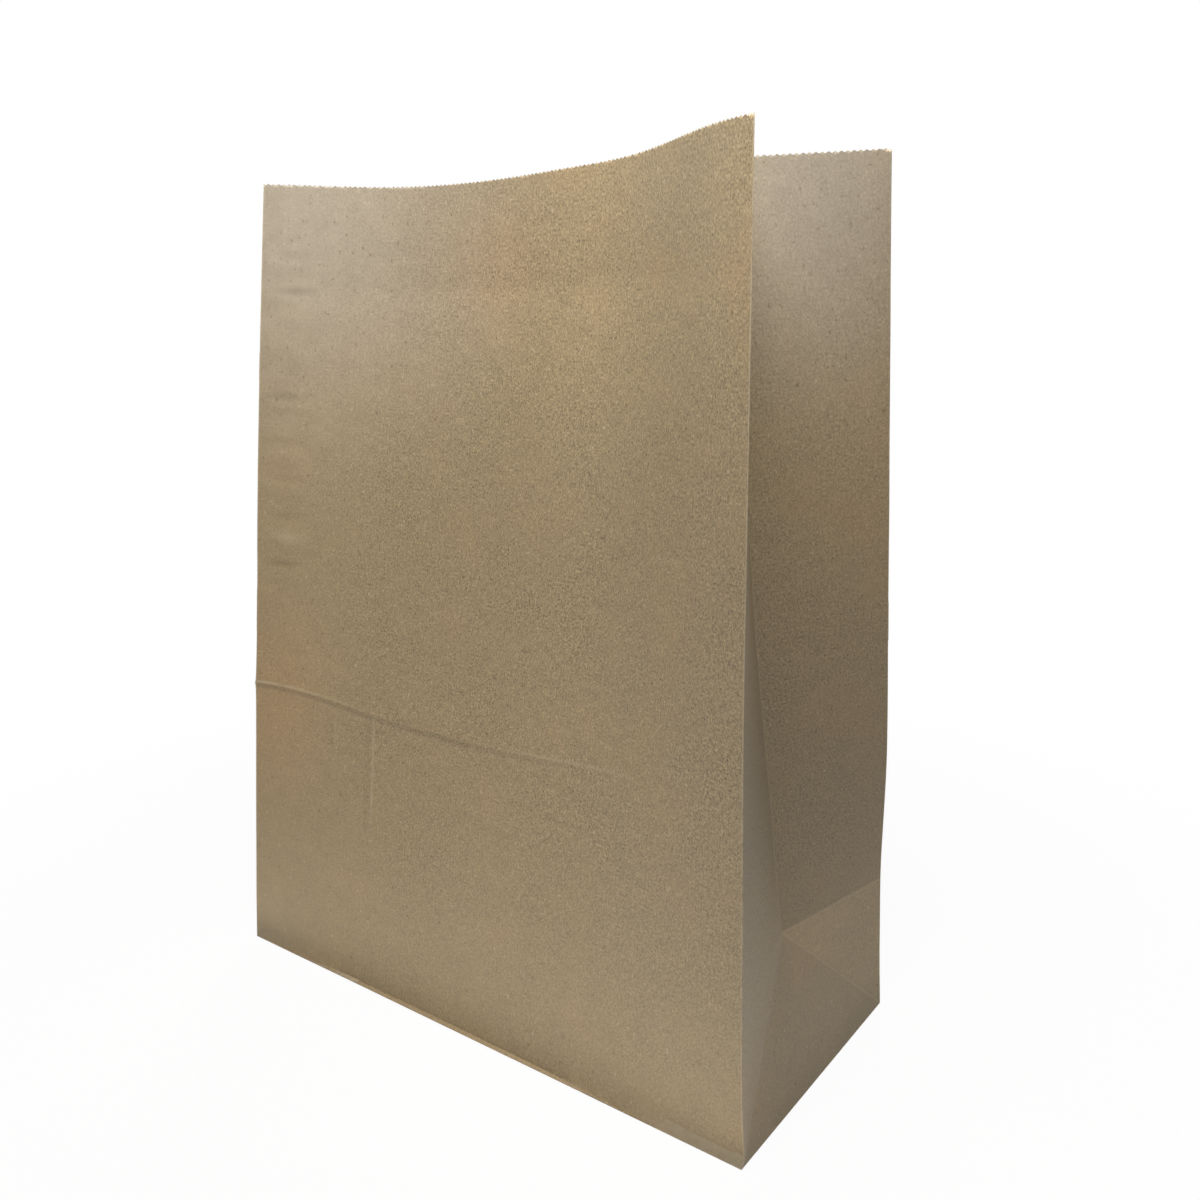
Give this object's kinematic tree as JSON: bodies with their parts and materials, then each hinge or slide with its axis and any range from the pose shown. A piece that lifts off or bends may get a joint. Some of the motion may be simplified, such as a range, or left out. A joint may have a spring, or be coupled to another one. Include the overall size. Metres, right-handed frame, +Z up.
{
  "type": "brown paper lunch bag",
  "caption": "Open brown kraft paper bag with a flat glued block bottom, tucked side gussets and a pinked top edge.",
  "frame": {"origin": "centre of the rectangular footprint, on the underside of the bottom that the bag stands on", "axes": "+Z up to the open mouth, -Y out of the front panel, +X toward the bag's right side seen from the front"},
  "size_m": [0.2562, 0.1192, 0.33],
  "materials": {
    "kraft_paper": "unbleached brown kraft, matt to faintly glazed"
  },
  "bodies": {
    "root": {"paper_bag": "kraft_paper"}
  },
  "joints": []
}
